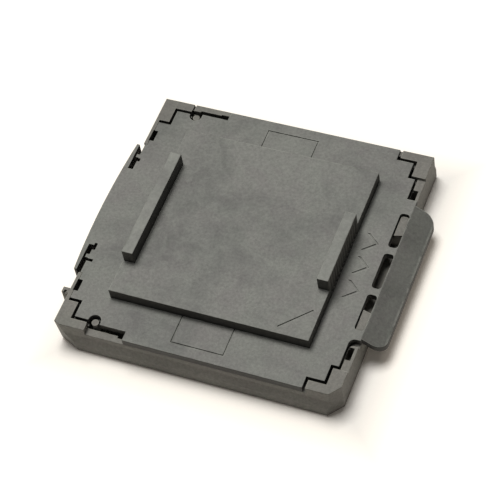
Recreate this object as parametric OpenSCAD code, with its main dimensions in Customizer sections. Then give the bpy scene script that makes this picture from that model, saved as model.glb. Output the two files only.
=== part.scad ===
// Land-grid-array processor socket with its vacuum pick-up cover snapped on.
// X runs along the front edge, Y to the back, Z up.
// The origin is the centre of the socket on the board it stands on.

/* [Socket body] */
// Width of the body, left to right
body_w = 42.5; // [42:0.1:46]
// Depth of the body at its top, front to back
body_d = 42.4; // [42:0.1:46]
// Height of the side walls above the board
wall_top = 4.1; // [3.8:0.05:4.6]
// Gap between the board and the underside of the walls
foot_h = 0.2; // [0.15:0.05:0.4]
// Width of each square package that the socket takes
package_w = 37.5; // [37:0.1:37.8]
// Room left around the package on each side
package_room = 0.2; // [0.05:0.05:0.3]
// Height of the floor's underside above the board
floor_low = 0.75; // [0.65:0.05:0.9]
// Height of the floor's top above the board
floor_high = 2.3; // [2:0.05:2.5]
// Height at which the package sits above the board
seat_h = 3.4; // [3:0.05:3.6]
// Height of the upright band at the top of the front and back faces
band_h = 2; // [1.5:0.1:2.4]
// Height of the sloping band below it
slope_h = 1.3; // [0.8:0.1:1.6]
// How far the foot of the front and back faces stands out
skirt = 0.45; // [0.2:0.05:0.8]

/* [Corner blocks] */
// Length of each corner block along the front or back
corner_w = 4.7; // [4:0.1:6]
// Length of each corner block along the side
corner_d = 4.15; // [3.5:0.05:6]
// Width of the corner block's arm along the side
corner_arm_w = 2.1; // [1.6:0.05:2.2]
// Width of the corner block's arm along the front or back
corner_arm_d = 1.4; // [1:0.05:1.6]
// Cut across the front right corner, where contact one is, along the front
key_cut = 1.75; // [1:0.05:2.4]
// The same cut along the side
key_cut_d = 2.1; // [1:0.05:2.6]
// Cut across the foot of the front left corner, along the front
front_cut = 3.1; // [1:0.05:3.4]
// How far that cut leans back towards a sharp corner at the top, in degrees
left_lean = 6; // [3:0.5:8]

/* [Cover] */
// Thickness of the cover's plate
cover_t = 1.1; // [0.9:0.05:1.4]
// Gap between the cover and the corner blocks
cover_gap = 0.45; // [0.2:0.05:0.5]
// Seam between the cover and the rails on the left wall
seam = 0.05; // [0.03:0.01:0.1]
// Side of the raised square pad
pad_w = 30; // [26:0.5:32]
// Height of the pad above the plate
pad_h = 1.9; // [1.4:0.1:2.4]
// Height of the finger ribs above the pad
rib_h = 2.3; // [1.5:0.1:3]
// Thickness of the finger ribs
rib_t = 1.65; // [1.2:0.05:2]
// Length of the left rib
left_rib = 18.5; // [14:0.5:22]
// Length of the right rib
right_rib = 12; // [10:0.5:16]
// How far both ribs' middles lie in front of the pad's middle
rib_shift = 0.45; // [0:0.05:1]
// Spacing of the grooves on the right rib
groove_pitch = 0.85; // [0.7:0.05:1.1]
// Depth of those grooves
groove_deep = 0.16; // [0.1:0.02:0.25]

/* [Tab and latch] */
// Length of the tab that lifts the cover off
tab_l = 23.7; // [20:0.1:24]
// How far the tab's middle lies behind the body's middle
tab_shift = 0.3; // [0:0.05:0.5]
// How far the tab stands out beyond the body
tab_out = 3.2; // [2:0.1:4]
// How far the tab's edge drops below the plate
tab_drop = 2; // [1:0.1:2.6]
// Radius of the tab's corners
tab_r = 1.8; // [1:0.1:2.6]
// Thickness of the tab
tab_t = 1; // [0.8:0.05:1.2]
// Width of the slots along the tab
slot_w = 1.45; // [1:0.05:1.6]
// Length of each of the three slots along the tab
slot_l = 6.1; // [5:0.1:6.4]
// Length of the bridges between those slots
slot_bridge = 1.15; // [0.8:0.05:1.6]
// Length of the curved latch on the left side
latch_l = 23.6; // [20:0.1:25]
// How far the latch bows out at its middle
latch_bow = 0.55; // [0.3:0.05:0.8]
// Thickness of the latch
latch_t = 0.4; // [0.3:0.05:0.7]
// Gap between the latch's arms and the body's left side
latch_gap = 0.55; // [0.3:0.05:0.6]
// Height of the latch below the cover's top
latch_h = 2.6; // [2:0.1:3]
// Length of the stretch where the latch joins the plate
latch_root = 14.4; // [12:0.2:16]

/* [Contacts] */
// Spacing of the contacts both ways
pitch = 0.9144; // [0.88:0.0001:0.93]
// Thickness of a contact's spring metal
contact_t = 0.1; // [0.08:0.01:0.12]
// Width of a contact
contact_w = 0.3; // [0.2:0.02:0.34]
// Height of the contact tips above the board
tip_h = 3.55; // [3.3:0.05:3.7]
// How far a contact's arm leans out
arm_reach = 0.65; // [0.4:0.05:0.7]
// Diameter of the solder balls
ball_d = 0.6; // [0.5:0.02:0.65]
// Height of the balls' undersides above the board
ball_low = 0.05; // [0.02:0.01:0.08]
// Play around the contacts in their slots
slot_play = 0.05; // [0.02:0.01:0.08]

/* [Hidden] */
// Nothing below is meant to be set
eps = 0.01;
beyond = 1;
top_z = wall_top + cover_t;
half_w = body_w / 2;
half_d = body_d / 2;
cavity = package_w + 2 * package_room;
half_c = cavity / 2;
land_n = 40;
bare_nx = 24;
bare_ny = 16;
rows_each = 2;
slot_run = 4;
group_n = land_n / rows_each;
slope_top = top_z - band_h;
skirt_top = slope_top - slope_h;
foot_y = half_d + skirt;

// Corners of the body, apart from contact one's
left_cut_d = 1.35;
back_cut = 0.5;

// Solder joints, slots and the window in the floor
solder_z = ball_low + ball_d * 0.8;
slot_half = (contact_w + contact_t) / 2 * sin(45) + slot_play;
window_rim = 1.2;
window_r = 0.6;

// Ledges that carry the package, clear of the outermost contact arms
arm_end = (land_n - 1) / 2 * pitch + (arm_reach + contact_w / 2) * sin(45);
seat_d = half_c - arm_end - 0.05;
seat_l = 1.6;
seat_at = half_c - 3.75;

// Keys that fit the package's notches
key_r = 0.55;
key_x = half_c - 0.35;
key_top = wall_top - 0.5;

// Feet under the walls, in the corners and along the front and back, placed from the cavity's edge
corner_foot = 1.6;
corner_foot_in = 0.1;
corner_foot_x = half_c - corner_foot_in + corner_foot / 2;
edge_foot = [2.4, 1.2];
edge_foot_x = 7;
edge_foot_out = 0.45;
edge_foot_y = half_c + edge_foot_out + edge_foot.y / 2;

// The ear on the left wall and its mark
ear_w = 0.85;
ear_out = 1.05;
ear_h = 2.5;
ear_y = -15.55;
ear_mark = 0.4;

// The post beside each left corner block, and its pocket in the wall
post_r = 0.52;
post_x = corner_w - half_w + 0.9;
post_y = half_d - 1.95;
pocket_room = 0.43;
pocket_x = post_x - post_r - pocket_room;
pocket_l = 5.95;
pocket_end = pocket_x + pocket_l;
ledge_d = 1.1;
ledge_y = half_d - ledge_d;
notch_l = 1.2;
notch_deep = 0.35;
strip_d = 0.9;
strip_gap = 0.3;
neck_z = wall_top - 1;

// Raised rails on the right wall, flush rails on the left one, and the recess beside each corner
rail_z = wall_top + 0.6;
rail_x = half_w - 1.2;
rail_end = 12.65;
rail_r = 0.5;
left_rail_w = 0.55;
left_rail_end = 12.2;
recess = [0.95, 2.05];
recess_x = half_w - 0.9;
recess_y = 14;
recess_deep = 1.8;
back_rail_end = recess_y - recess.y / 2;

// Bosses on the right wall that stand up into the tab's two outer slots
boss_gap = 0.12;
boss_z = rail_z;

// A low sill closes the back of the gap beside each back corner block
sill_z = top_z - 0.35;

// Openings for two fingers in the side walls, inside and outside
finger_l = [12.2, 14.4];

// Edges of the cover
side_x = half_w - 1.45;
front_y = -11.85;
back_y = back_rail_end - seam;
left_x = -half_w + 0.25;
arm_x = half_w - corner_w - cover_gap;
arm_y = half_d - corner_arm_d - cover_gap;
block_x = half_w - corner_arm_w - cover_gap;
block_y = half_d - corner_d - cover_gap;
side_r = 0.9;
slot_r = 0.5;
lip = 0.05;
plate_low = top_z - cover_t;
window = [0.7, 1.95];
window_x = -recess_x - 0.05;
window_y = [-14.3, 13.95];
post_gap = 0.4;

// The rim below the plate stays above the seats and the contact tips
rim_gap = 0.1;
rim_low = max(seat_h, tip_h) + rim_gap;
rim_room = 0.35;
rim_t = 0.9;

// Wall of the hollow pad, and the left rib's distance from the pad's side
skin = 1;
rib_inset = 0.2;
groove_r = 0.28;
groove_end = 0.3;

// The latch's arc, and notches and nubs along its two slots as [y, length, depth]
latch_x = -half_w - latch_gap;
latch_r = (pow(latch_l / 2, 2) + latch_bow * latch_bow) / (2 * latch_bow);
notches = [[8.8, 0.55, 0.4], [-10.05, 0.45, 0.9], [-8, 1.2, 0.45]];
nubs = [[9.45, 0.6, 0.45], [-9.5, 0.6, 0.45]];

// Outlined field across the plate, contact one's line and three arrow heads
engrave = 0.15;
field_w = 8;
field_end = half_d - 1.65;
field_line = 0.16;
one_line = [5.5, 0.22];
one_inset = 2.95;
one_at = pad_w / 2 - one_inset;
arrow = [2.2, 3, 0.45];
arrow_x = (pad_w / 2 + side_x) / 2;
arrow_step = 4.2;

function two(n) = str(n < 10 ? "0" : "", n);

contact_nodes = [for (k = [1 : group_n]) str("contacts_rows_", two(k))];
ball_nodes = [for (k = [1 : group_n]) str("solder_balls_", two(k))];

// ---------- shared shapes ----------

// A rectangle from its left front corner, with round corners
module round_rect(size, r) {
    translate([r, 0]) square([size.x - 2 * r, size.y]);
    translate([0, r]) square([size.x, size.y - 2 * r]);
    for (x = [r, size.x - r], y = [r, size.y - r])
        translate([x, y]) circle(r, $fn = 32);
}

// A centred box that stands on z
module block(size, at = [0, 0, 0]) {
    translate([at.x - size.x / 2, at.y - size.y / 2, at.z]) cube(size);
}

// An upright prism from z to z + h
module prism(z, h) {
    translate([0, 0, z]) linear_extrude(h) children();
}

// ---------- where the contacts stand ----------

// Land number n counted from the middle, in millimetres
function land(n) = (n - (land_n - 1) / 2) * pitch;

// How far a number is from the nearer end of its row
function inward(n) = min(n, land_n - 1 - n);

// The bare field around the window
function in_window(i, j) =
    abs(i - (land_n - 1) / 2) < bare_nx / 2 && abs(j - (land_n - 1) / 2) < bare_ny / 2;

// The two seams between the L-shaped fields
function in_seam(i, j) =
    (i == land_n / 2 && j < (land_n - bare_ny) / 2)
    || (i == land_n / 2 - 1 && j >= (land_n + bare_ny) / 2);

// Bare triangles at the corners, bare places at the keys, and one at contact one
function in_corner(i, j) = inward(i) + inward(j) < 3;
function at_key(i, j) = inward(i) < 2 && abs(j - (land_n - 1) / 2) < 2;
function at_one(i, j) = i == land_n - 4 && j == 0;

function has_contact(i, j) =
    !(in_window(i, j) || in_seam(i, j) || in_corner(i, j) || at_key(i, j) || at_one(i, j));

// The two fields lean opposite ways, towards each other
function lean(i, j) =
    (j < (land_n - bare_ny) / 2 ? i < land_n / 2
        : j < (land_n + bare_ny) / 2 ? i < land_n / 2 : i < land_n / 2 - 1) ? -45 : 135;

// Places its children at every contact of rows first to last
module at_contacts(first, last) {
    for (j = [first : last], i = [0 : land_n - 1])
        if (has_contact(i, j))
            translate([land(i), land(j)]) rotate(lean(i, j)) children();
}

// ---------- socket housing ----------

// The body's outline at its foot, with the corners that are cut for their whole height
module foot_outline() {
    polygon([
        [-half_w, -foot_y], [half_w - key_cut, -foot_y], [half_w, key_cut_d - foot_y],
        [half_w, foot_y], [back_cut - half_w, foot_y], [-half_w, foot_y - back_cut]
    ]);
}

// What is cut off the front face above the skirt
module face_cut() {
    far = foot_y + beyond;
    rotate([90, 0, 90])
        translate([0, 0, -half_w - beyond])
            linear_extrude(body_w + 2 * beyond)
                polygon([
                    [-half_d, top_z + beyond], [-half_d, slope_top], [-foot_y, skirt_top],
                    [-far, skirt_top], [-far, top_z + beyond]
                ]);
}

// The cut at the front left, wide at the foot and leaning back to the corner at the top
module left_cut() {
    turn = 180 + atan2(front_cut, left_cut_d);
    h = top_z + beyond;
    translate([-half_w, left_cut_d - foot_y, 0])
        rotate([90, 0, turn])
            translate([0, 0, -2 * front_cut])
                linear_extrude(4 * front_cut)
                    polygon([[0, 0], [h * tan(left_lean), h], [2 * front_cut, h], [2 * front_cut, 0]]);
}

// The part of each corner block that stands up beside the cover
module corner_outline() {
    translate([half_w - corner_w, half_d - corner_arm_d]) square([corner_w, corner_arm_d + skirt]);
    translate([half_w - corner_arm_w, half_d - corner_d]) square([corner_arm_w, corner_d + skirt]);
}

// The rails on the right wall, the front one round at its inner end
module rail_outline() {
    w = half_w - rail_x;
    l = half_d - corner_d - rail_end + eps;
    mirror([0, 1]) {
        translate([rail_x + rail_r, rail_end]) square([w - rail_r, l]);
        translate([rail_x, rail_end + rail_r]) square([w, l - rail_r]);
        translate([rail_x + rail_r, rail_end + rail_r]) circle(rail_r, $fn = 32);
    }
    translate([rail_x, back_rail_end]) square([w, half_d - corner_d - back_rail_end + eps]);
}

// The flush rails on the left wall, from the corner blocks to the finger opening
module left_rail_outline(room = 0) {
    for (y = [0, 1]) mirror([0, y])
        translate([-half_w, left_rail_end - room])
            square([left_rail_w + room, half_d - corner_d - left_rail_end + room + eps]);
}

// The bosses that stand up into the tab's outer slots
module boss_outline() {
    slot_at(1, boss_gap);
    slot_at(-1, boss_gap);
}

// The pocket in the front or back wall around the post
module pocket_outline() {
    translate([pocket_x, half_c - beyond]) square([pocket_l, ledge_y - half_c + beyond]);
    translate([pocket_end - notch_l, half_c]) square([notch_l, ledge_y + notch_deep - half_c]);
}

// The post, and the low neck that ties it to the wall
module posts() {
    for (y = [0, 1]) mirror([0, y, 0]) {
        prism(floor_high - eps, rail_z - floor_high) translate([post_x, post_y]) circle(post_r, $fn = 48);
        prism(floor_high - eps, neck_z - floor_high)
            translate([post_x - post_r, post_y]) square([2 * post_r, ledge_y - post_y + notch_deep]);
    }
}

// Slots through the floor, each shared by a short run of contacts in one row
module contact_slots() {
    for (j = [0 : land_n - 1], start = [0 : slot_run : land_n - 1]) {
        run = [for (i = [start : start + slot_run - 1]) if (has_contact(i, j)) i];
        if (len(run) > 0) {
            first = land(run[0]) - slot_half;
            last = land(run[len(run) - 1]) + slot_half;
            translate([first, land(j) - slot_half]) square([last - first, 2 * slot_half]);
        }
    }
}

// The square window in the middle of the floor
module window_outline() {
    w = (bare_nx + 1) * pitch - 2 * window_rim;
    d = (bare_ny + 1) * pitch - 2 * window_rim;
    translate([-w / 2, -d / 2]) round_rect([w, d], window_r);
}

module socket_floor() {
    prism(floor_low, floor_high - floor_low)
        difference() {
            square(cavity + 2 * eps, center = true);
            window_outline();
            contact_slots();
        }
}

// Everything that stands up around the package, before anything is cut from it
module wall_blank() {
    prism(foot_h, wall_top - foot_h) foot_outline();
    // corner blocks up to the cover's top
    prism(wall_top - eps, cover_t + eps)
        intersection() {
            foot_outline();
            for (x = [0, 1], y = [0, 1]) mirror([x, 0]) mirror([0, y]) corner_outline();
        }
    prism(wall_top - eps, rail_z - wall_top + eps) rail_outline();
    prism(wall_top - eps, boss_z - wall_top + eps) boss_outline();
    prism(wall_top - eps, cover_t + eps) left_rail_outline();
    // the back wall stands up where the cover is cut away, and has a neck to the post
    prism(wall_top - eps, cover_t + eps) {
        translate([corner_w - half_w + strip_gap, half_d - strip_d])
            square([pocket_end + half_w - corner_w - strip_gap, strip_d]);
        translate([post_x - post_r, post_y]) square([2 * post_r, half_d - post_y]);
    }
    for (x = [0, 1]) mirror([x, 0, 0])
        prism(wall_top - eps, sill_z - wall_top + eps)
            translate([half_w - corner_w - cover_gap, half_d - strip_d]) square([cover_gap + eps, strip_d]);
}

module walls() {
    difference() {
        wall_blank();
        // room for the package and its contacts
        block([cavity, cavity, wall_top], [0, 0, 0]);
        for (y = [0, 1]) mirror([0, y, 0]) {
            face_cut();
            prism(floor_high, top_z) pocket_outline();
        }
        left_cut();
        finger_cuts();
        for (y = [-1, 1])
            block([recess.x, recess.y, top_z], [recess_x, y * recess_y, wall_top - recess_deep]);
        for (y = window_y)
            block([recess.x, recess.y, top_z], [-recess_x, y, wall_top - recess_deep]);
    }
}

module finger_cuts() {
    inner = half_c - beyond;
    outer = half_w + beyond;
    for (x = [0, 1]) mirror([x, 0, 0])
        prism(floor_high, top_z)
            polygon([
                [inner, -finger_l[0] / 2], [outer, -finger_l[1] / 2],
                [outer, finger_l[1] / 2], [inner, finger_l[0] / 2]
            ]);
}

// Ledges that the package's edge sits on
module seats() {
    for (a = [0 : 90 : 270], s = [-1, 1]) rotate(a)
        translate([s * seat_at - seat_l / 2, half_c - seat_d, floor_high - eps])
            cube([seat_l, seat_d + eps, seat_h - floor_high + eps]);
}

// Keys that fit the notches in the package's edge
module keys() {
    for (x = [0, 1]) mirror([x, 0, 0])
        prism(floor_high - eps, key_top - floor_high + eps) {
            translate([key_x, 0]) circle(key_r, $fn = 32);
            translate([key_x, -key_r]) square([half_c - key_x + eps, 2 * key_r]);
        }
}

module feet() {
    for (x = [-1, 1], y = [-1, 1]) {
        block([corner_foot, corner_foot, foot_h + eps],
            [x * corner_foot_x, y * (half_d - 2 * corner_foot), 0]);
        block([edge_foot.x, edge_foot.y, foot_h + eps], [x * edge_foot_x, y * edge_foot_y, 0]);
    }
}

// The ear on the left wall, with its small square mark
module ear() {
    difference() {
        translate([-half_w - ear_out, ear_y - ear_w / 2, top_z - ear_h]) cube([ear_out + eps, ear_w, ear_h]);
        block([ear_mark, ear_mark, ear_mark + eps],
            [-half_w - ear_out / 2, ear_y - ear_w / 2 + ear_mark / 2 - eps, top_z - ear_mark]);
    }
}

module socket_housing() {
    color("#5b5a56") {
        walls();
        socket_floor();
        seats();
        keys();
        feet();
        ear();
        posts();
    }
}

// ---------- pick-up cover ----------

// The plate seen from above, with everything cut away that the housing fills
module plate_outline() {
    difference() {
        translate([left_x, -half_d]) square([half_w + lip - left_x, body_d]);
        for (x = [0, 1], y = [0, 1]) mirror([x, 0]) mirror([0, y]) corner_room();
        for (y = [0, 1]) mirror([0, y]) post_room();
        rail_room();
        translate([-eps, 0]) left_rail_outline(seam + eps);
        for (n = notches) translate([left_x - eps, n[0]]) square([n[2] + eps, n[1]]);
    }
    for (n = nubs) translate([left_x - n[2], n[0]]) square([n[2] + eps, n[1]]);
}

// What the cover leaves free around a corner block
module corner_room() {
    translate([arm_x, arm_y]) square(corner_w + beyond);
    translate([block_x, block_y]) square(corner_d + beyond);
}

// What it leaves free beside the rails on the right wall, round at the front one's inner corner
module rail_room() {
    w = half_w + beyond - side_x;
    translate([side_x, back_y]) square([w, block_y - back_y + eps]);
    translate([side_x, -block_y - eps]) square([w, block_y + front_y - side_r + eps]);
    translate([side_x + side_r, front_y - side_r - eps]) square([w - side_r, side_r + eps]);
    translate([side_x + side_r, front_y - side_r]) circle(side_r, $fn = 48);
}

// What it leaves free around the post
module post_room() {
    r = post_r + pocket_room;
    far = half_d - post_y + beyond;
    translate([post_x, post_y]) circle(r, $fn = 48);
    translate([post_x - r, post_y]) square([2 * r, far]);
    translate([post_x, ledge_y - post_gap]) square([pocket_end - post_x, far]);
}

// The latch, bowed along the left side
module latch_outline() {
    intersection() {
        translate([latch_x - latch_t - latch_bow + latch_r, 0]) circle(latch_r, $fn = 360);
        translate([latch_x - latch_t - latch_bow - beyond, -latch_l / 2])
            square([latch_t + latch_bow + beyond, latch_l]);
    }
}

// The tab seen from above, with its outer corners round
module tab_plan() {
    translate([half_w, tab_shift]) difference() {
        translate([0, -tab_l / 2]) square([tab_out, tab_l]);
        for (y = [0, 1]) mirror([0, y])
            translate([tab_out - tab_r, tab_l / 2 - tab_r])
                difference() {
                    square(tab_r + beyond);
                    circle(tab_r, $fn = 64);
                }
    }
}

// The tab slopes down from the plate's right edge
module tab() {
    intersection() {
        prism(0, top_z + beyond) tab_plan();
        rotate([90, 0, 0])
            translate([0, 0, -tab_l])
                linear_extrude(2 * tab_l)
                    polygon([
                        [half_w - eps, top_z], [half_w + tab_out, top_z - tab_drop],
                        [half_w + tab_out, top_z - tab_drop - tab_t], [half_w - eps, top_z - tab_t]
                    ]);
    }
}

// Slot number k beside the tab, from -1 at the front to 1 at the back, drawn in by a clearance
module slot_at(k, clear = 0) {
    translate([half_w - slot_w - lip + clear, k * (slot_l + slot_bridge) - slot_l / 2 + clear])
        round_rect([slot_w - 2 * clear, slot_l - 2 * clear], slot_r - clear);
}

// Three slots beside the tab, so that it can be pushed down
module tab_slots() {
    prism(plate_low - beyond, cover_t + 2 * beyond)
        for (k = [-1 : 1]) slot_at(k);
}

// The pad with its two ribs
module pad() {
    block([pad_w, pad_w, pad_h + eps], [0, 0, top_z - eps]);
    translate([rib_inset - pad_w / 2, -rib_shift - left_rib / 2, top_z + pad_h - eps])
        cube([rib_t, left_rib, rib_h + eps]);
    translate([pad_w / 2 - rib_t, -rib_shift - right_rib / 2, top_z + pad_h - eps])
        cube([rib_t, right_rib, rib_h + eps]);
}

// Upright grooves that a fingertip grips, in the right rib and the pad's side below it
module rib_grooves() {
    n = floor((right_rib - 2 * groove_end) / groove_pitch);
    for (k = [0 : n - 1])
        translate([
            pad_w / 2 + groove_r - groove_deep,
            -rib_shift + (k - (n - 1) / 2) * groove_pitch,
            top_z + groove_end
        ])
            cylinder(h = pad_h + rib_h - 2 * groove_end, r = groove_r, $fn = 24);
}

// An outlined field across the plate, the line at contact one, and arrow heads toward the tab
module engraving() {
    inner = field_w - 2 * field_line;
    prism(top_z - engrave, engrave + eps)
        difference() {
            square([field_w, 2 * field_end], center = true);
            square([inner, 2 * (field_end - field_line)], center = true);
            square(pad_w + 2 * eps, center = true);
        }
    translate([one_at, -one_at, top_z + pad_h - engrave]) rotate(45) block([one_line.x, one_line.y, beyond]);
    for (k = [-1 : 1])
        prism(top_z - engrave, engrave + eps) translate([arrow_x, k * arrow_step]) arrow_outline();
}

// A plain arrow head that points to the tab
module arrow_outline() {
    x = arrow.x / 2;
    y = arrow.y / 2;
    w = arrow.z;
    polygon([[-x, y], [w - x, y], [x, 0], [w - x, -y], [-x, -y], [x - w, 0]]);
}

// The rim that keeps the cover in the package's place
module locating_rim() {
    w = cavity - 2 * rim_room;
    difference() {
        block([w, w, plate_low - rim_low + eps], [0, 0, rim_low]);
        block([w - 2 * rim_t, w - 2 * rim_t, plate_low], [0, 0, rim_low - eps]);
    }
}

module pickup_cover() {
    color("#63625e")
        difference() {
            union() {
                prism(plate_low, cover_t) {
                    plate_outline();
                    translate([latch_x - eps, -latch_root / 2])
                        square([left_x - latch_x + 2 * eps, latch_root]);
                }
                prism(top_z - latch_h, latch_h) latch_outline();
                locating_rim();
                pad();
                tab();
            }
            // hollow under the pad
            block([pad_w - 2 * skin, pad_w - 2 * skin, pad_h + cover_t - skin + eps],
                [0, 0, plate_low - eps]);
            tab_slots();
            rib_grooves();
            for (y = window_y)
                block([window.x, window.y, cover_t + 2 * beyond], [window_x, y, plate_low - beyond]);
            engraving();
        }
}

// ---------- contacts and solder balls ----------

// One contact from the side: its stem from the ball up, and its leaning arm
module contact() {
    x = contact_t / 2;
    bend = floor_high + slot_play;
    rotate([90, 0, 0])
        translate([0, 0, -contact_w / 2])
            linear_extrude(contact_w)
                polygon([
                    [-x, solder_z], [x, solder_z], [x, bend],
                    [arm_reach, tip_h - x], [arm_reach - contact_t, tip_h], [-x, bend + x]
                ]);
}

module contacts_rows(k) {
    color("#c9a227") at_contacts(k * rows_each, (k + 1) * rows_each - 1) contact();
}

// One ball, flat on top where it is soldered to its contact's stem
module solder_ball() {
    difference() {
        translate([0, 0, ball_low + ball_d / 2]) sphere(ball_d / 2, $fn = 32);
        block([ball_d, ball_d, ball_d], [0, 0, solder_z]);
    }
}

module solder_balls(k) {
    color("#b8babd") at_contacts(k * rows_each, (k + 1) * rows_each - 1) solder_ball();
}

socket_housing();
pickup_cover();
for (k = [0 : group_n - 1]) {
    contacts_rows(k);
    solder_balls(k);
}
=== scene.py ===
# Land-grid processor socket under its pick-up cover
import math
import bpy
import bmesh
from mathutils import Matrix, Vector


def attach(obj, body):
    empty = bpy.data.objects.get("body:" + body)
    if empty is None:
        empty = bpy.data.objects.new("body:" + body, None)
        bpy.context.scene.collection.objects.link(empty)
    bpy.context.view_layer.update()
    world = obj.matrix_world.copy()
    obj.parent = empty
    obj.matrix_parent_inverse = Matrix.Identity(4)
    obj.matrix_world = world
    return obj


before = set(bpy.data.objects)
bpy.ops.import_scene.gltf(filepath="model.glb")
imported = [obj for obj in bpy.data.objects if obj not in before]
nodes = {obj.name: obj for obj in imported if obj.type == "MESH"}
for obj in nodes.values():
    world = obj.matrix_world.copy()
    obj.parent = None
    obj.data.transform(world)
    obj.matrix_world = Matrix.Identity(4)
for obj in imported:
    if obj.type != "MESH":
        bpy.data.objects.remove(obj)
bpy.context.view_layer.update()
mm = 0.001
print("frame loaded:", len(nodes), "nodes")


# helpers for node trees

def addNode(tree, kind, settings=None, inputs=None):
    node = tree.nodes.new("ShaderNode" + kind)
    for name, value in (settings or {}).items():
        setattr(node, name, value)
    for key, value in (inputs or {}).items():
        if isinstance(value, bpy.types.NodeSocket):
            tree.links.new(value, node.inputs[key])
        else:
            node.inputs[key].default_value = value
    return node


def newMaterial(name):
    mat = bpy.data.materials.new(name)
    mat.use_nodes = True
    tree = mat.node_tree
    shader = tree.nodes["Principled BSDF"]
    coord = addNode(tree, "TexCoord").outputs["Object"]
    return mat, tree, shader, coord


def noise(tree, coord, scale, detail=3, roughness=0.5, distortion=0):
    node = addNode(tree, "TexNoise", inputs={
        "Vector": coord, "Scale": scale, "Detail": detail, "Roughness": roughness, "Distortion": distortion})
    return node.outputs["Fac"]


def ramp(tree, value, low, high, toLow=0, toHigh=1):
    node = addNode(tree, "MapRange", inputs={
        "Value": value, "From Min": low, "From Max": high, "To Min": toLow, "To Max": toHigh})
    return node.outputs["Result"]


def maths(tree, operation, *values):
    return addNode(tree, "Math", {"operation": operation}, dict(enumerate(values))).outputs[0]


def along(tree, vector, axis):
    return addNode(tree, "SeparateXYZ", inputs={0: vector}).outputs[axis]


def blendColour(tree, factor, a, b, kind="MIX"):
    node = addNode(tree, "Mix", {"data_type": "RGBA", "blend_type": kind})
    for socket, value in ((node.inputs[0], factor), (node.inputs[6], a), (node.inputs[7], b)):
        if isinstance(value, bpy.types.NodeSocket):
            tree.links.new(value, socket)
        else:
            socket.default_value = value
    return node.outputs[2]


def shaded(tree, tone, value):
    grey = addNode(tree, "CombineColor", inputs={"Red": value, "Green": value, "Blue": value})
    return blendColour(tree, 1, tone, grey.outputs[0], "MULTIPLY")


def stretched(tree, coord, scale, turn=0):
    node = addNode(tree, "Mapping", inputs={
        "Vector": coord, "Scale": scale, "Rotation": (0, 0, math.radians(turn))})
    return node.outputs["Vector"]


# moulded plastic: each noise in cells to the metre, with the range that is spread over 0 to 1

mouldNoise = {
    "cloud": ({"scale": 95, "detail": 4, "roughness": 0.55, "distortion": 0.6}, (0.4, 0.6)),     # flow of the melt
    "patch": ({"scale": 330, "detail": 3, "roughness": 0.5, "distortion": 1.2}, (0.35, 0.7)),
    "tint": ({"scale": 170, "detail": 4, "roughness": 0.6, "distortion": 0.8}, (0.38, 0.62)),
    "speck": ({"scale": 2300, "detail": 4, "roughness": 0.75}, (0.3, 0.7)),     # glass in the melt
    "streak": ({"scale": 1, "detail": 3, "roughness": 0.6}, (0.45, 0.75)),
    # breaks up the rubbed edges and their painted highlight
    "rubAndHighlight": ({"scale": 700, "detail": 3, "roughness": 0.6}, (0.35, 0.65)),
    "nick": ({"scale": 480, "detail": 4, "roughness": 0.7}, (0.42, 0.6))}

moulding = {
    "streakCells": (60, 900, 300), "grit": (0.78, 1.22),
    "wallTurn": (0.1, 0.6), "topTurn": (0.2, 0.65),     # how far up a face looks, for a wall and for a top
    "gapReach": 0.0012, "gapRange": (0.12, 0.72), "gapSamples": 6,
    # where the rubbed edges and their painted highlight fall, and how far the pale is spread
    "rubAndHighlightTurn": (0.99, 0.86), "rubAndHighlightSpread": (0.15, 1), "rubAndHighlightSamples": 8,
    "tabStep": 0.00015, "edgeStep": 0.0002, "topStep": 0.0001, "topNicks": (0.7, 1.2),
    "roughSpread": (-0.05, 0.06),
    "grain": {"scale": 3600, "detail": 3, "roughness": 0.6}, "ripple": {"scale": 420, "detail": 2, "roughness": 0.5},
    "rippleShare": 1.5, "grainDepth": 0.00003}


def mouldPattern(tree, coord, key, toLow=0, toHigh=1):
    settings, (low, high) = mouldNoise[key]
    return ramp(tree, noise(tree, coord, **settings), low, high, toLow, toHigh)


def mouldedTone(tree, coord, look, cloud):
    base = (*look["colour"], 1)
    pale = (*(c * look["pale"] for c in look["colour"]), 1)
    dark = (*(c * look["dark"] for c in look["colour"]), 1)
    tone = blendColour(tree, look["clouds"], base, blendColour(tree, cloud, dark, pale))
    tone = blendColour(tree, mouldPattern(tree, coord, "tint"), tone, (*look["tint"], 1), "MULTIPLY")
    patch = mouldPattern(tree, coord, "patch")
    tone = blendColour(tree, ramp(tree, patch, 0, 1, 0, look["patches"]), tone, pale)
    speck = mouldPattern(tree, coord, "speck")
    tone = shaded(tree, tone, ramp(tree, speck, 0, 1, *moulding["grit"]))
    flow = stretched(tree, coord, moulding["streakCells"], look["flow"])
    streak = mouldPattern(tree, flow, "streak")
    return blendColour(tree, ramp(tree, streak, 0, 1, 0, look["streaks"]), tone, pale)


# painted shade: faces that turn away from up are painted darker, and narrow gaps are painted darker by ambient
# occlusion
def wallAndGapShade(tree, upward, look):
    wall = ramp(tree, maths(tree, "ABSOLUTE", upward), *moulding["wallTurn"], look["wall"], 1)
    gap = addNode(tree, "AmbientOcclusion", {"samples": moulding["gapSamples"]},
                  {"Distance": moulding["gapReach"]}).outputs["AO"]
    return maths(tree, "MULTIPLY", wall, ramp(tree, gap, *moulding["gapRange"], look["gap"], 1))
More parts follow.
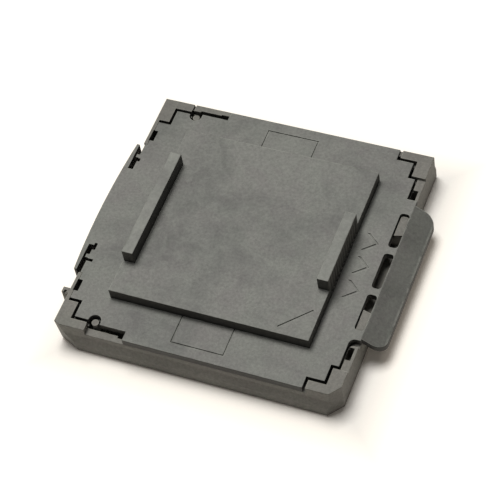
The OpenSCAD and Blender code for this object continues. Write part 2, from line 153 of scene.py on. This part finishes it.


# upward edges are painted pale, partly as rubbed wear and partly as painted highlight, and knocks leave the free
# edge of the tab and the tops of the ribs paler too
def wearAndPaintedHighlight(tree, coord, upward, soft, look):
    faceUp = ramp(tree, upward, *moulding["topTurn"])
    flat = addNode(tree, "NewGeometry").outputs["Normal"]
    turned = addNode(tree, "VectorMath", {"operation": "DOT_PRODUCT"}, {0: soft, 1: flat}).outputs["Value"]
    # painted highlight and rub: pale where the soft normal turns from the flat one, on faces that look up
    rubbedAndHighlit = maths(tree, "MULTIPLY", ramp(tree, turned, *moulding["rubAndHighlightTurn"], 0, look["wearAndHighlight"]), faceUp)
    rubbedAndHighlit = maths(tree, "MULTIPLY", rubbedAndHighlit, mouldPattern(tree, coord, "rubAndHighlight", *moulding["rubAndHighlightSpread"]))
    nick = mouldPattern(tree, coord, "nick")
    edgeFrom, topFrom = look["edgeFrom"], look["topFrom"]
    edge = ramp(tree, along(tree, coord, "X"), edgeFrom, edgeFrom + moulding["edgeStep"], 0, look["edgeWear"])
    top = ramp(tree, along(tree, coord, "Z"), topFrom, topFrom + moulding["topStep"], 0, look["topWear"])
    knocked = maths(tree, "MAXIMUM", maths(tree, "MULTIPLY", nick, edge),
                    maths(tree, "MULTIPLY", ramp(tree, nick, 0, 1, *moulding["topNicks"]), top))
    return maths(tree, "MAXIMUM", rubbedAndHighlit, maths(tree, "MULTIPLY", knocked, faceUp))


def mouldedPlastic(name, look):
    mat, tree, shader, coord = newMaterial(name)
    cloud = mouldPattern(tree, coord, "cloud")
    upward = along(tree, addNode(tree, "NewGeometry").outputs["True Normal"], "Z")
    soft = addNode(tree, "Bevel", {"samples": moulding["rubAndHighlightSamples"]}, {"Radius": look["rubAndHighlight"]}).outputs["Normal"]
    # painted shade on side faces and in narrow gaps multiplies the moulded tone
    tone = shaded(tree, mouldedTone(tree, coord, look, cloud), wallAndGapShade(tree, upward, look))
    tabFrom = look["tabFrom"]     # the tab's face is smoother and darker than the plate's
    tab = ramp(tree, along(tree, coord, "X"), tabFrom, tabFrom + moulding["tabStep"], 1, look["tab"])
    # pale colour for rubbed edges and their painted highlight
    wornAndHighlit = (*(c * look["rubbedAndHighlit"] for c in look["colour"]), 1)
    tone = blendColour(tree, wearAndPaintedHighlight(tree, coord, upward, soft, look), shaded(tree, tone, tab), wornAndHighlit)
    tree.links.new(tone, shader.inputs["Base Color"])
    rough = [look["rough"] + step for step in moulding["roughSpread"]]
    tree.links.new(ramp(tree, cloud, 0, 1, *rough), shader.inputs["Roughness"])
    shader.inputs["Specular IOR Level"].default_value = look["gloss"]
    height = maths(tree, "MULTIPLY_ADD", noise(tree, coord, **moulding["ripple"]), moulding["rippleShare"],
                   noise(tree, coord, **moulding["grain"]))
    bump = addNode(tree, "Bump", inputs={
        "Height": height, "Strength": look["bump"], "Distance": moulding["grainDepth"], "Normal": soft})
    tree.links.new(bump.outputs["Normal"], shader.inputs["Normal"])
    return mat


# in these looks the wall and gap values set painted shade on side faces and in narrow gaps, and the rub, wear and
# rubbed values set pale edges, partly wear and partly painted highlight
coverLook = {
    "colour": (0.172, 0.175, 0.156), "pale": 1.32, "dark": 0.74, "clouds": 0.75, "tint": (0.95, 0.9, 0.94),
    "patches": 0.45, "flow": 20, "streaks": 0.15, "wall": 0.22, "gap": 0.2, "tabFrom": 0.0212, "tab": 0.7,
    "rubAndHighlight": 0.0003, "wearAndHighlight": 0.8, "rubbedAndHighlit": 2.7, "edgeFrom": 0.0241, "edgeWear": 0.35,
    "topFrom": 0.00925, "topWear": 0.2, "rough": 0.6, "gloss": 0.4, "bump": 0.6, "roundEdge": 0.00009}
housingLook = {
    "colour": (0.186, 0.182, 0.158), "pale": 1.25, "dark": 0.8, "clouds": 0.6, "tint": (0.97, 0.93, 0.96),
    "patches": 0.25, "flow": 95, "streaks": 0.12, "wall": 0.93, "gap": 0.3, "tabFrom": 0.03, "tab": 1,
    "rubAndHighlight": 0.00028, "wearAndHighlight": 0.9, "rubbedAndHighlit": 2.4, "edgeFrom": 0.03, "edgeWear": 0,
    "topFrom": 0.02, "topWear": 0, "rough": 0.62, "gloss": 0.35, "bump": 0.6, "roundEdge": 0.00007}
coverPlastic = mouldedPlastic("coverPlastic", coverLook)
housingPlastic = mouldedPlastic("housingPlastic", housingLook)
print("plastics made")


# plated contacts and solder

metalSpread = (0.3, 0.7)
goldLook = {
    "dark": (0.72, 0.5, 0.16, 1), "pale": (0.86, 0.64, 0.26, 1), "tone": {"scale": 900, "detail": 3},
    "rough": (0.22, 0.34), "roughness": {"scale": 2500, "detail": 2},
    "cells": (9000, 9000, 700), "brushed": {"scale": 1, "detail": 2}, "bump": 0.12, "depth": 0.000004}
solderLook = {
    "dark": (0.55, 0.56, 0.57, 1), "pale": (0.76, 0.77, 0.78, 1), "tone": {"scale": 1700, "detail": 4},
    "rough": (0.32, 0.5), "roughness": {"scale": 4000, "detail": 3},
    "cells": (1, 1, 1), "brushed": {"scale": 8000, "detail": 3, "roughness": 0.6}, "bump": 0.3, "depth": 0.000006}


def metal(name, look):
    mat, tree, shader, coord = newMaterial(name)
    patches = ramp(tree, noise(tree, coord, **look["tone"]), *metalSpread)
    tree.links.new(blendColour(tree, patches, look["dark"], look["pale"]), shader.inputs["Base Color"])
    shader.inputs["Metallic"].default_value = 1
    dull = ramp(tree, noise(tree, coord, **look["roughness"]), *metalSpread, *look["rough"])
    tree.links.new(dull, shader.inputs["Roughness"])
    height = noise(tree, stretched(tree, coord, look["cells"]), **look["brushed"])
    bump = addNode(tree, "Bump", inputs={"Height": height, "Strength": look["bump"], "Distance": look["depth"]})
    tree.links.new(bump.outputs["Normal"], shader.inputs["Normal"])
    return mat


gold = metal("goldPlate", goldLook)
solder = metal("solderMetal", solderLook)
print("metals made")


# CAD nodes take their finishes, and the moulded ones get small round edges

roundEdges = {"weld": 0.000002, "flatWithin": 0.6, "cornerFrom": 32, "segments": 2}


def finishNode(name, mat, edge=0):
    obj = nodes[name]
    obj.data.materials.clear()
    obj.data.materials.append(mat)
    if edge:
        weld = obj.modifiers.new("weld", "WELD")
        weld.merge_threshold = roundEdges["weld"]
        plane = obj.modifiers.new("planes", "DECIMATE")
        plane.decimate_type = "DISSOLVE"
        plane.angle_limit = math.radians(roundEdges["flatWithin"])
        bevel = obj.modifiers.new("edges", "BEVEL")
        bevel.width = edge
        bevel.segments = roundEdges["segments"]
        bevel.limit_method = "ANGLE"
        bevel.angle_limit = math.radians(roundEdges["cornerFrom"])
        bevel.use_clamp_overlap = True
        bevel.harden_normals = False


for name in nodes:
    if name.startswith("contacts"):
        finishNode(name, gold)
    elif name.startswith("solder"):
        finishNode(name, solder)
finishNode("socket_housing", housingPlastic, housingLook["roundEdge"])
finishNode("pickup_cover", coverPlastic, coverLook["roundEdge"])
print("CAD nodes finished")


# a bar between neighbouring contacts, so that each stands in its own slot; lengths in mm

slotBars = {
    "pitch": 0.9144, "lands": 40, "bareWide": 12, "bareDeep": 8, "run": 4,
    "frontSeam": (20, 12), "backSeam": (19, 28), "besideOne": (36, 0), "cornerCut": 3, "keyIn": 2, "keyHalf": 2,
    "half": 0.1914, "bite": 0.02, "low": 0.76, "high": 2.29, "chamfer": 0.07}


def hasContact(i, j):
    last = slotBars["lands"] - 1
    fromEnd = (min(i, last - i), min(j, last - j))
    offCentre = (abs(i - last / 2), abs(j - last / 2))
    if offCentre[0] < slotBars["bareWide"] and offCentre[1] < slotBars["bareDeep"]:
        return False     # the bare field around the window
    (frontAt, frontEnd), (backAt, backStart) = slotBars["frontSeam"], slotBars["backSeam"]
    if (i == frontAt and j < frontEnd) or (i == backAt and j >= backStart):
        return False     # the seams between the two fields
    if sum(fromEnd) < slotBars["cornerCut"] or (i, j) == slotBars["besideOne"]:
        return False     # the bare corners and the place beside contact one
    return not (fromEnd[0] < slotBars["keyIn"] and offCentre[1] < slotBars["keyHalf"])     # the keys


def makeSlotBars():
    bm = bmesh.new()
    half, pitch, lands = slotBars["half"], slotBars["pitch"], slotBars["lands"]
    low, high = slotBars["low"], slotBars["high"]
    middle = (lands - 1) / 2
    for j in range(lands):
        for start in range(0, lands, slotBars["run"]):
            run = [i for i in range(start, start + slotBars["run"]) if hasContact(i, j)]
            for a, b in zip(run, run[1:]):
                left = (a - middle) * pitch + half
                right = (b - middle) * pitch - half
                at = Vector(((left + right) / 2, (j - middle) * pitch, (low + high) / 2)) * mm
                size = Vector((right - left, 2 * (half + slotBars["bite"]), high - low)) * mm
                bmesh.ops.create_cube(bm, size=1, matrix=Matrix.LocRotScale(at, None, size))
    lowEdges = [edge for edge in bm.edges
                if all(v.co.z < (low + high) / 2 * mm for v in edge.verts)
                and abs(edge.verts[0].co.x - edge.verts[1].co.x) < half / 2 * mm]
    bmesh.ops.bevel(bm, geom=lowEdges, offset=slotBars["chamfer"] * mm, affect="EDGES",
                    segments=1, profile=0.5, material=-1)
    bmesh.ops.recalc_face_normals(bm, faces=bm.faces)
    mesh = bpy.data.meshes.new("slotBars")
    bm.to_mesh(mesh)
    bm.free()
    bars = bpy.data.objects.new("slotBars", mesh)
    bpy.context.scene.collection.objects.link(bars)
    mesh.materials.append(housingPlastic)
    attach(bars, "root")
    print("slot bars:", len(mesh.polygons), "faces")


makeSlotBars()


# pale floor, which is white to the camera away from the part; near the part its glow is turned down, which paints a
# warm shadow around it on top of the part's cast shadow

floorLook = {
    "size": 1.5, "cells": 8, "dark": (0.94, 0.91, 0.86, 1), "pale": (0.96, 0.93, 0.88, 1),
    "tone": {"scale": 30, "detail": 3}, "rough": 0.9, "gloss": 0.1, "glowColour": (1, 0.86, 0.7, 1),
    "partAt": (0.0015, 0, 0), "paintedShadowReach": (0.0215, 0.037), "glowWithPaintedShadow": (0.05, 1.1)}


def floorMaterial():
    mat, tree, shader, coord = newMaterial("paleFloor")
    shader.inputs["Roughness"].default_value = floorLook["rough"]
    shader.inputs["Specular IOR Level"].default_value = floorLook["gloss"]
    tone = blendColour(tree, noise(tree, coord, **floorLook["tone"]), floorLook["dark"], floorLook["pale"])
    tree.links.new(tone, shader.inputs["Base Color"])
    path = addNode(tree, "LightPath")
    seen = maths(tree, "MAXIMUM", path.outputs["Is Camera Ray"], path.outputs["Is Glossy Ray"])
    # painted shadow: the glow falls off towards the part, whose centre is taken a little to the right so the floor
    # is darkest under the tab
    shifted = addNode(tree, "VectorMath", {"operation": "SUBTRACT"}, {0: coord, 1: floorLook["partAt"]})
    reach = addNode(tree, "VectorMath", {"operation": "ABSOLUTE"}, {0: shifted.outputs["Vector"]}).outputs["Vector"]
    away = maths(tree, "MAXIMUM", along(tree, reach, "X"), along(tree, reach, "Y"))
    glowWithPaintedShadow = maths(tree, "MULTIPLY", seen, ramp(tree, away, *floorLook["paintedShadowReach"], *floorLook["glowWithPaintedShadow"]))
    shader.inputs["Emission Color"].default_value = floorLook["glowColour"]
    tree.links.new(glowWithPaintedShadow, shader.inputs["Emission Strength"])
    return mat


def makeFloor():
    bm = bmesh.new()
    cells = floorLook["cells"]
    bmesh.ops.create_grid(bm, x_segments=cells, y_segments=cells, size=floorLook["size"])
    mesh = bpy.data.meshes.new("paleFloor")
    bm.to_mesh(mesh)
    bm.free()
    floor = bpy.data.objects.new("paleFloor", mesh)
    bpy.context.scene.collection.objects.link(floor)
    mesh.materials.append(floorMaterial())


makeFloor()
print("floor laid")


# one broad lamp from behind on the left, and a dim sky

keyLight = {
    "watts": 3.6, "size": (0.3, 0.3), "colour": (1, 0.995, 0.98), "at": (-0.11, 0.11, 0.62), "to": (0, 0, 0)}
skyLight = {"colour": (1, 1, 1, 1), "lighting": 0.07, "seen": 1}


def areaLight(name, look):
    data = bpy.data.lights.new(name, "AREA")
    data.energy = look["watts"]
    data.shape = "RECTANGLE"
    data.size, data.size_y = look["size"]
    data.color = look["colour"]
    lamp = bpy.data.objects.new(name, data)
    bpy.context.scene.collection.objects.link(lamp)
    lamp.location = look["at"]
    lamp.rotation_euler = (Vector(look["to"]) - Vector(look["at"])).to_track_quat("-Z", "Y").to_euler()


def makeSky():
    world = bpy.data.worlds.new("studio")
    bpy.context.scene.world = world
    world.use_nodes = True
    tree = world.node_tree
    sky = tree.nodes["Background"]
    sky.inputs["Color"].default_value = skyLight["colour"]
    seen = addNode(tree, "LightPath").outputs["Is Camera Ray"]
    tree.links.new(ramp(tree, seen, 0, 1, skyLight["lighting"], skyLight["seen"]), sky.inputs["Strength"])


areaLight("keyLight", keyLight)
makeSky()
print("lights set")


# camera

view = {"at": (0.08304, -0.14244, 0.22568), "turn": (35.883, 6.797, 20.911), "lens": 138.70, "nearest": 0.01}
camera = bpy.data.objects.new("camera", bpy.data.cameras.new("camera"))
bpy.context.scene.collection.objects.link(camera)
camera.location = view["at"]
camera.rotation_euler = [math.radians(angle) for angle in view["turn"]]
camera.data.lens = view["lens"]
camera.data.clip_start = view["nearest"]
bpy.context.scene.camera = camera
bpy.context.scene.view_settings.view_transform = "Standard"
print("camera set")
